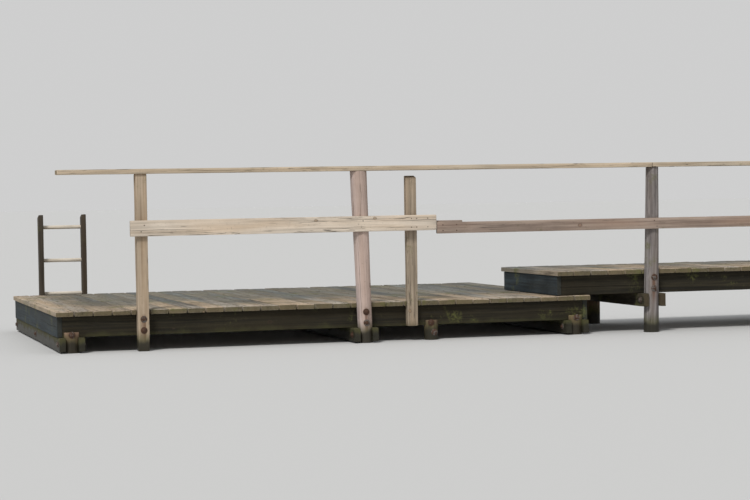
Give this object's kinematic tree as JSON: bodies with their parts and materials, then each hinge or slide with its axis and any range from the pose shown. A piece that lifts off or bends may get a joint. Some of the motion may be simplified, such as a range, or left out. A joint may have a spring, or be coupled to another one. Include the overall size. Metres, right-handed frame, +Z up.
{
  "type": "wooden jetty",
  "caption": "Wooden lake jetty on round piles: a low bathing platform with a ladder, a walkway one step higher that runs ashore in bays, and a two-rail railing along one side.",
  "frame": {"origin": "middle of the footprint, on the waterline where the piles stand", "axes": "+X along the jetty from the lake end to the shore end, +Y across it from the railing side to the open side with the ladder, +Z up"},
  "size_m": [11, 2.817, 1.22],
  "materials": {
    "deck_wood": "silver-grey weathered softwood boards, tan along the edge",
    "frame_wood": "dark, damp, weathered squared timber",
    "end_board_wood": "dark blue-grey weathered board",
    "bearer_wood": "dark wet plank with green growth near the water",
    "pile_wood": "round log, brown-grey, dark and green near the water",
    "tan_post_wood": "squared post, weathered tan-grey",
    "head_pile_wood": "round log, weathered pale lilac-grey",
    "blue_grey_post_wood": "round log, weathered blue-grey",
    "top_rail_wood": "flat rail, weathered pale tan",
    "pale_rail_wood": "rail board, weathered pale grey-tan",
    "brown_rail_wood": "rail board, weathered pinkish grey-brown",
    "ladder_wood": "dark weathered upright",
    "rung_wood": "pale worn round rung"
  },
  "bodies": {
    "root": {"platform_deck": "deck_wood", "platform_stringer_near": "frame_wood", "platform_stringers_inner": "frame_wood", "platform_stringer_far": "frame_wood", "platform_lake_board": "end_board_wood", "platform_shore_board": "end_board_wood", "extra_pile": "pile_wood", "railing_post_1": "tan_post_wood", "railing_post_2": "head_pile_wood", "railing_post_3": "tan_post_wood", "walkway_stringers": "frame_wood", "step_riser": "end_board_wood", "shore_header": "end_board_wood", "mid_rail_1": "pale_rail_wood", "mid_rail_cleat": "brown_rail_wood", "ladder_uprights": "ladder_wood", "ladder_rungs": "rung_wood", "platform_bearer_1": "bearer_wood", "platform_piles_1": "pile_wood", "top_rail_1": "top_rail_wood", "platform_bearer_2": "bearer_wood", "platform_piles_2": "pile_wood", "top_rail_2": "top_rail_wood", "platform_bearer_3": "bearer_wood", "platform_piles_3": "pile_wood", "top_rail_3": "top_rail_wood", "walkway_deck_1": "deck_wood", "walkway_deck_2": "deck_wood", "mid_rail_2": "brown_rail_wood", "mid_rail_3": "brown_rail_wood", "walkway_pile_1": "pile_wood", "walkway_bearer_1": "bearer_wood", "walkway_pile_2": "pile_wood", "walkway_bearer_2": "bearer_wood", "walkway_pile_3": "pile_wood", "walkway_bearer_3": "bearer_wood", "walkway_pile_4": "pile_wood", "walkway_bearer_4": "bearer_wood", "railing_post_4": "blue_grey_post_wood", "railing_post_5": "blue_grey_post_wood", "railing_post_6": "blue_grey_post_wood", "railing_post_7": "blue_grey_post_wood"}
  },
  "joints": []
}
